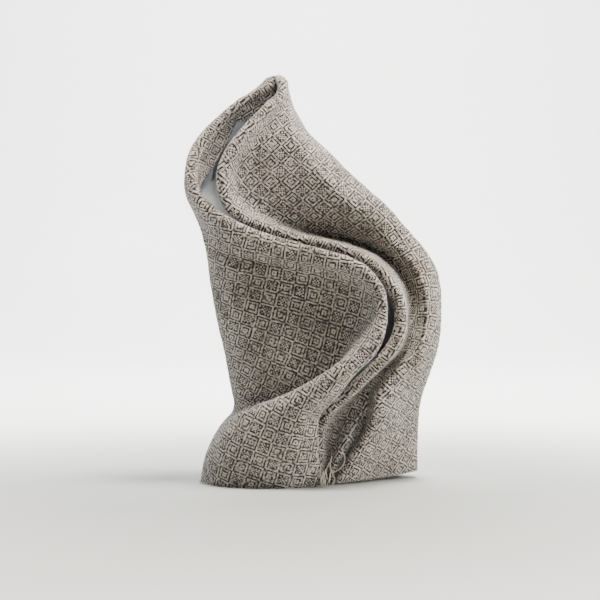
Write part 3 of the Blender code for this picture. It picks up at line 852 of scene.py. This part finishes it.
lining_material = plain_weave("Cotton sateen", ("#8E9196", "#9A9DA2"))
print(lining_material.name, "has", len(lining_material.node_tree.nodes), "nodes")

# %% [markdown]
# ## Creases
# A rolled cloth keeps soft troughs and ridges where it bends, no two alike. Noise would ripple it evenly,
# so each crease is given with its own length, depth and width, where the photograph shows it. Similar
# ones are on the hidden side.

# %% Where the creases are
# Rows name the start and the end across and up, the depth (a ridge is negative) and the half width
CREASES = (
    (-26.5, 131, -4, 136, 0.9, 4.0), (-25, 126, -23, 112, 0.7, 3.2), (-12, 150, -20, 138, -0.5, 2.6),
    (-31, 33, -14, 39, 0.6, 2.2), (-30, 36, -20, 45, 0.35, 1.8), (-38, 26, -42, 8, 0.4, 2.6),
    (-34, 70, -30, 48, 0.35, 3.5), (-36, 95, -33, 72, -0.35, 3.0), (20, 118, 36, 92, 0.45, 4.0),
    (44, 60, 41, 30, 0.4, 3.0), (36, 30, 38, 4, -0.4, 2.4), (44, 22, 43, 2, 0.4, 2.2),
    (-8, 60, 8, 78, 0.3, 5.0))
BACK_CREASES = (
    (-40, 118, -10, 96, 1.3, 4.6), (-12, 150, 6, 118, 1.0, 4.0), (34, 96, 6, 66, 1.2, 5.0),
    (48, 62, 22, 34, -0.9, 4.2), (-26, 74, -20, 38, 1.0, 4.2), (-24, 32, -34, 6, 0.9, 3.6),
    (10, 44, 4, 8, -0.8, 3.4), (34, 26, 28, 3, 0.9, 3.2), (20, 108, 40, 84, -0.8, 3.6))
print("creases in front", len(CREASES), "and behind", len(BACK_CREASES))

# %% Press the creases in
RIPPLE = 0.12
# A bend of the fine grid is gentle, so its directions need to be only this much longer there
BEND = 1.2
# The hidden side starts this deep and is full this much deeper, so that no facing is creased with it
BEHIND, BEHIND_FADE = 10, 6
# The cloth is flat on the floor, and the creases come in over the first millimetres above it
FLAT_FOOT = 4.0
ENDS = 0.35


def creased(grid):
    """The grid with soft creases on both sides and small ripples all over."""
    direction = normals(grid, BEND)
    push = np.zeros(grid.shape[:2])
    across, up = grid[..., 0], grid[..., 2]
    for table, side in ((CREASES, 2.0), (BACK_CREASES, -2.0)):
        facing = np.clip(direction[..., 1] * side, 0, 1)
        if side < 0:
            facing = facing * np.clip((grid[..., 1] - BEHIND) / BEHIND_FADE, 0, 1)
        for x1, z1, x2, z2, deep, wide in table:
            way = np.array([x2 - x1, z2 - z1])
            share = np.clip(((across - x1) * way[0] + (up - z1) * way[1]) / (way @ way), 0, 1)
            gap = np.hypot(across - x1 - share * way[0], up - z1 - share * way[1])
            fuller = ENDS + (1 - ENDS) * np.sin(math.pi * share)
            push += deep * facing * np.exp(-((gap / wide) ** 2)) * fuller
    ripple = np.sin(0.9 * across + 0.5 * up) * np.sin(0.35 * grid[..., 1] - 0.6 * up + 1.3)
    foot = np.clip(up / FLAT_FOOT, 0, 1)
    return grid + direction * ((push + RIPPLE * ripple) * foot)[..., None]


smooth_fine = fine
fine = creased(fine)
print("deepest crease", round(float(np.linalg.norm(fine - smooth_fine, axis=-1).max()), 2), "mm")

# %% [markdown]
# ## The face cloth
# The outer square, with its turned edges. It is a closed mesh with an outer side, an inner side and a wall
# all around, because a single sheet would show no cut edge at the foot.

# %% Face cloth
fine_inward = normals(fine, BEND)
face = cloth_piece("face_cloth_fine", fine, fine_inward, FACE_WALL, refined(flat, FINER))
face.data.materials.append(face_material)
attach(face, "root")
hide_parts("face_cloth")
print("face cloth", len(face.data.polygons), "faces")

# %% [markdown]
# ## The lining cloth
# The inner square, seen only through the slit and under the tip. It is made as the face cloth is and takes
# the same creases, because the two are sewn together and bend as one.

# %% Lining
lining_fine = creased(refined(inside, FINER))
lining_flat = refined(flattened(inside, "flattening_lining"), FINER)
lining = cloth_piece("lining_fine", lining_fine, normals(lining_fine, BEND), LINING_WALL, lining_flat)
lining.data.materials.append(lining_material)
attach(lining, "root")
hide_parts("lining")
print("lining", len(lining.data.polygons), "faces")

# %% [markdown]
# ## Stitches
# A hand-rolled edge is held by small running stitches that dive under the roll and come up again. A drawn
# dash would lie flat, so each stitch is a short thread, sunk at both ends and raised in the middle.

# %% Small tubes
THIN_ENDS = 0.45
# Any direction that no thread runs along
SKEW = np.array([0.31, -0.87, 0.38])


def tubes(name, paths, radius, sides, material):
    """One mesh of thin tubes along paths, in millimetres of the tables. Each tapers at its ends."""
    verts, faces = [], []
    for path in paths:
        path = np.asarray(path, float)
        way = unit(np.gradient(path, axis=0))
        across = unit(np.cross(way, SKEW))
        other = np.cross(way, across)
        start = len(verts)
        last = len(path) - 1
        for step, point in enumerate(path):
            size = radius * (THIN_ENDS if step in (0, last) else 1.0)
            for side in range(sides):
                angle = math.tau * side / sides
                spoke = math.cos(angle) * across[step] + math.sin(angle) * other[step]
                verts.append(point + size * spoke)
        for step in range(last):
            ring = start + step * sides
            for side in range(sides):
                after = (side + 1) % sides
                faces.append((ring + side, ring + after, ring + sides + after, ring + sides + side))
        faces.append(tuple(start + side for side in reversed(range(sides))))
        faces.append(tuple(start + last * sides + side for side in range(sides)))
    thing = mesh_piece(name, verts, faces)
    thing.data.materials.append(material)
    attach(thing, "root")
    print(name, len(paths), "tubes,", len(faces), "faces")
    return thing


# %% Yarns
def yarn_material(name, color):
    """Plain matte yarn. Spun cotton scatters light, so it is rough and has no pattern this small."""
    return new_material(name, Base_Color=linear(color), Roughness=0.85)[0]


pale_yarn = yarn_material("Cotton yarn, pale", "#D9D0C2")
dark_yarn = yarn_material("Cotton yarn, dark", "#4A423C")
print("yarns:", pale_yarn.name, "and", dark_yarn.name)

# %% Points on the outer side
def outward(row, column, lift):
    """A point above the outer side of the face cloth, at a row and column between its points."""
    r, c = int(row), int(column)
    share_r, share_c = row - r, column - c
    r2, c2 = min(r + 1, fine.shape[0] - 1), min(c + 1, fine.shape[1] - 1)

    def between(grid):
        low = grid[r, c] * (1 - share_c) + grid[r, c2] * share_c
        high = grid[r2, c] * (1 - share_c) + grid[r2, c2] * share_c
        return low * (1 - share_r) + high * share_r

    return between(fine) - between(fine_inward) * (0.5 * FACE_WALL + lift)


print("a point over the front:", outward(80, 60, 0.0).round(1))

# %% Running stitches
STITCH, STITCH_STEP, THREAD = 1.3, 1.9, 0.2
# The stitches lie where the roll starts, just past the columns of the facing
ROLL_START = 3.3 * FINER
# How far along a stitch each of its points is, and how far above the cloth
RISE = ((0, -0.25), (0.18, 0.12), (0.5, 0.2), (0.82, 0.12), (1, -0.25))
LANE_SAMPLES = 1200
FIRST_ROW = 2
LAST_ROW = fine.shape[0] - 1 - FINER * (len(CAP) + 3)


def running_stitches(column):
    """Paths of stitches along one column of the fine grid."""
    rows = np.linspace(FIRST_ROW, LAST_ROW, LANE_SAMPLES)
    lane = np.array([outward(row, column, 0.0) for row in rows])
    run = np.concatenate([[0], np.cumsum(np.linalg.norm(np.diff(lane, axis=0), axis=1))])
    paths = []
    for start in np.arange(2.0, run[-1] - STITCH - 1, STITCH_STEP):
        spots = [(np.interp(start + share * STITCH, run, rows), lift) for share, lift in RISE]
        paths.append([outward(row, column, lift) for row, lift in spots])
    return paths


stitches = running_stitches(ROLL_START) + running_stitches(fine.shape[1] - 1 - ROLL_START)
tubes("hem_stitches", stitches, THREAD, 6, pale_yarn)

# %% [markdown]
# ## Loose yarns
# At the corner between the rims the cut edge frays, and a few long yarns hang out in loops. A curve has to
# be made a mesh in the end, so each is a smooth path through typed bends, with a tube around it.

# %% Loose yarns at the frayed corner
YARN, DARK_YARN = 0.17, 0.2
# Rows name across, depth and height of each bend
LOOSE_YARNS = (
    ((13.5, -5.5, 15.5), (14.8, -7.4, 12.5), (14.4, -8.2, 9.5), (12.2, -8.4, 7.2), (9.4, -7.2, 5.6)),
    ((4.2, -11.2, 17.5), (3.0, -13.2, 14.5), (3.7, -13.8, 12), (2.1, -13.6, 9.4), (0.3, -13.2, 7.4),
     (-0.2, -13.4, 5.6)),
    ((8.4, -4.6, 9.5), (7.4, -6.8, 7.6), (6.2, -8.2, 4.4), (6.6, -8.8, 1.2)),
    ((9.6, -3.2, 12.5), (8.8, -6.2, 9.0), (9.6, -7.6, 6.0), (10.6, -7.8, 3.2), (9.8, -8.4, 1.0)))


def smooth_path(points, count):
    """A smooth path through a few bends."""
    return curve(np.arange(len(points)), points, np.linspace(0, len(points) - 1, count))


tubes("loose_yarns", [smooth_path(bends, 28) for bends in LOOSE_YARNS], YARN, 6, pale_yarn)

# %% [markdown]
# ## Frayed tuft and cut ends
# Where cloth is cut, the last yarns work loose and stand out unevenly. Their places and bends are drawn
# by chance, from a fixed seed that gives the same tuft on each run.

# %% Frayed tuft
rng = random.Random(11)
TUFT_FOOT = (6.0, -7.2, 0.5)
TUFT_YARNS = 26


def tuft_yarn():
    """One short yarn that leans out of the corner."""
    foot = np.array(TUFT_FOOT) + (rng.uniform(-2.4, 3.2), rng.uniform(-1.2, 1.4), 0)
    lean = np.array((rng.uniform(-1.5, 1.5), rng.uniform(-1.6, 0.4), rng.uniform(3.0, 7.0)))
    bend = np.array((rng.uniform(-1, 1), rng.uniform(-1.2, 0.2), 0)) * 0.8
    return smooth_path((foot + lean, foot + lean * 0.6 + bend, foot + lean * 0.25 + bend, foot), 10)


tuft = [tuft_yarn() for _ in range(TUFT_YARNS)]
tubes("frayed_tuft", tuft[::2], 0.22, 5, pale_yarn)
tubes("frayed_tuft_dark", tuft[1::4], DARK_YARN, 5, dark_yarn)

# %% Cut ends along the foot
CUT_ENDS, CUT_END = 420, 0.11
# Row of the fine grid that they start on, and the least height of their tips
CUT_ROW, CLEAR = 0.4, 0.12


def cut_end(column):
    """A short yarn end that stands off the cut edge at the foot."""
    start = outward(CUT_ROW, column, -0.3)
    lift = outward(CUT_ROW, column, 0.6) - start
    tip = start + lift * rng.uniform(0.4, 1.3) + (rng.uniform(-0.5, 0.5), 0, -rng.uniform(0.1, 0.6))
    tip[2] = max(tip[2], CLEAR)
    return [start, 0.5 * (start + tip) + (0, 0, CLEAR), tip]


# The turned edges have no cut ends
edge = TURNED * FINER
columns = [rng.uniform(edge, fine.shape[1] - 1 - edge) for _ in range(CUT_ENDS)]
tubes("cut_ends", [cut_end(column) for column in columns], CUT_END, 4, pale_yarn)

# %% [markdown]
# ## Fibres
# Cotton yarn is spun from short fibres, whose ends stand off the cloth and soften its outline. The export
# can't carry hair particles, so each fibre is a tube of three sides with one bend.

# %% Fibres that stand off the cloth
FIBRES, FIBRE = 2600, 0.035
SHORTEST, FIBRE_LONGEST = 0.3, 0.9


def fibre():
    """A short curved fibre on the outer side of the cloth."""
    row, column = rng.uniform(1, fine.shape[0] - 2), rng.uniform(1, fine.shape[1] - 2)
    start = outward(row, column, -0.1)
    away = unit(outward(row, column, 1.0) - start)
    side = np.array([rng.uniform(-1, 1) for _ in range(3)])
    length = rng.uniform(SHORTEST, FIBRE_LONGEST)
    tip = start + (away + 0.8 * side) * length
    tip[2] = max(tip[2], 0.05)
    return [start, start + away * 0.5 * length, tip]


tubes("cotton_fibres", [fibre() for _ in range(FIBRES)], FIBRE, 3, pale_yarn)

# %% [markdown]
# ## Cut sizes
# The part of each square that the roll hides is not built and not counted.

# %% Cut sizes
print("flat sizes in cm: 23.5 x 17.5 and 20 x 15.5")

# %% [markdown]
# ## The sweep
# A studio sweep is one sheet of paper that runs from the floor up the wall. A floor and a wall would show
# a line between them, so a grid is bent over a quarter circle. The paper has painted shade around the foot,
# which also keeps it from lighting the folds from below.

# %% Sweep
FLOOR_START, FLOOR_END = -0.3, 0.9
SWEEP_LENGTH, SWEEP_WIDTH = 3.0, 3.0
ROUND = 0.6
bpy.ops.object.select_all(action="DESELECT")
bpy.ops.mesh.primitive_grid_add(x_subdivisions=2, y_subdivisions=60, size=2)
sweep = bpy.context.active_object
sweep.name = "sweep"
quarter = ROUND * math.pi / 2
for vertex in sweep.data.vertices:
    along = (vertex.co.y + 1) * (SWEEP_LENGTH / 2) + FLOOR_START
    bend = min(max(along - FLOOR_END, 0.0), quarter)
    rest = max(along - FLOOR_END - quarter, 0.0)
    depth_y = min(along, FLOOR_END) + ROUND * math.sin(bend / ROUND)
    vertex.co = (vertex.co.x * SWEEP_WIDTH, depth_y, ROUND * (1 - math.cos(bend / ROUND)) + rest)
sweep.data.shade_smooth()
print("sweep", len(sweep.data.polygons), "faces")

# %% Backdrop paper
# Uncoated paper is matte and even, so it needs no grain at this distance
paper, tree, shader = new_material("Backdrop paper, painted shade at the foot", Roughness=0.9)
# Painted shade around the foot: the paper darkens from #F1F1F0 beyond 0.34 m to #A9ACAA within 0.08 m of the
# middle
far = add(tree, "VectorMath", add(tree, "TexCoord", out="Object"), operation="LENGTH", out="Value")
share = add(tree, "ValToRGB", far, stops=((0.08, 0.0), (0.34, 1.0)), blend="EASE")
pair = ((6, linear("#A9ACAA")), (7, linear("#F1F1F0")))
tree.links.new(add(tree, "Mix", share, at=pair, data_type="RGBA", out=2), shader.inputs["Base Color"])
sweep.data.materials.append(paper)
print("paper", paper.name)

# %% [markdown]
# ## Light
# The photograph is lit softly from above and from the right, with a weak light on the left. One large
# light would flatten the folds, so the lamps are small and near. Three narrow spots lift what the folds
# would hide: the facing under the tip, the pleat at the foot, and the lower right.

# %% Lamps
def lamp(name, kind, place, target, power, color="#FFFFFF", **settings):
    """A light that looks at a point."""
    data = bpy.data.lights.new(name, kind)
    data.energy = power
    data.color = linear(color)[:3]
    for key, value in settings.items():
        setattr(data, key, value)
    thing = bpy.data.objects.new(name, data)
    thing.location = place
    thing.rotation_euler = (Vector(target) - Vector(place)).to_track_quat("-Z", "Y").to_euler()
    bpy.context.scene.collection.objects.link(thing)


CLOTH_MIDDLE = (0, 0, 0.09)
WALL = (0, 1.4, 0.2)
lamp("top", "AREA", (0.14, -0.12, 0.8), CLOTH_MIDDLE, 16, "#FFF8EC", size=0.2)
lamp("right", "AREA", (0.72, 0.02, 0.3), CLOTH_MIDDLE, 9, "#FFFAF2", size=0.3)
lamp("left", "AREA", (-0.7, 0.1, 0.25), CLOTH_MIDDLE, 3, "#F4F8FF", size=0.4)
lamp("backdrop", "AREA", (0.0, 0.45, 0.9), WALL, 60, size=0.8)
# Rows name the spot, its place, what it lights, half its angle in degrees, and its power
SPOTS = (
    ("kicker gap", (0.08, -0.82, 0.2), (-0.034, 0, 0.152), 1.4, 190),
    ("kicker foot", (0.1, -0.82, 0.2), (0.0165, 0, 0.022), 1.0, 130),
    ("kicker right", (0.75, -0.35, 0.14), (0.036, -0.02, 0.034), 2.4, 14))
for name, place, target, half_angle, power in SPOTS:
    lamp(name, "SPOT", place, target, power, spot_size=2 * math.radians(half_angle),
         spot_blend=1.0, shadow_soft_size=0.05)
print("lamps", len(bpy.data.lights))

# %% World
# The camera sees a bright wall past the sweep, but the world hardly lights the cloth's folds
WORLD_LIGHT, WORLD_SEEN = 0.02, 0.85
world = bpy.data.worlds.new("studio")
bpy.context.scene.world = world
world.use_nodes = True
tree = world.node_tree
background = tree.nodes["Background"]
background.inputs["Color"].default_value = linear("#F4F5F6")
seen = add(tree, "LightPath", out="Is Camera Ray")
glow = add(tree, "Math", seen, WORLD_SEEN, WORLD_LIGHT, operation="MULTIPLY_ADD")
tree.links.new(glow, background.inputs["Strength"])
print("world", world.name)

# %% [markdown]
# ## Camera
# The photograph looks at the cloth level, from a little way off. A long lens 80 cm away keeps upright
# lines upright, and it is shifted, not tilted, to put the cloth where it is in the picture.

# %% Camera
view = bpy.data.cameras.new("camera")
view.lens = 114.286
view.sensor_width = 36
view.shift_x, view.shift_y = -0.015, -0.1
CAMERA_PLACE = np.array([0, -800, 102.7])
camera = bpy.data.objects.new("camera", view)
camera.location = ((CAMERA_PLACE + SHIFT) * MM).tolist()
camera.rotation_euler = (math.pi / 2, 0, 0)
bpy.context.scene.collection.objects.link(camera)
bpy.context.scene.camera = camera
print("camera", [round(value, 3) for value in camera.location])
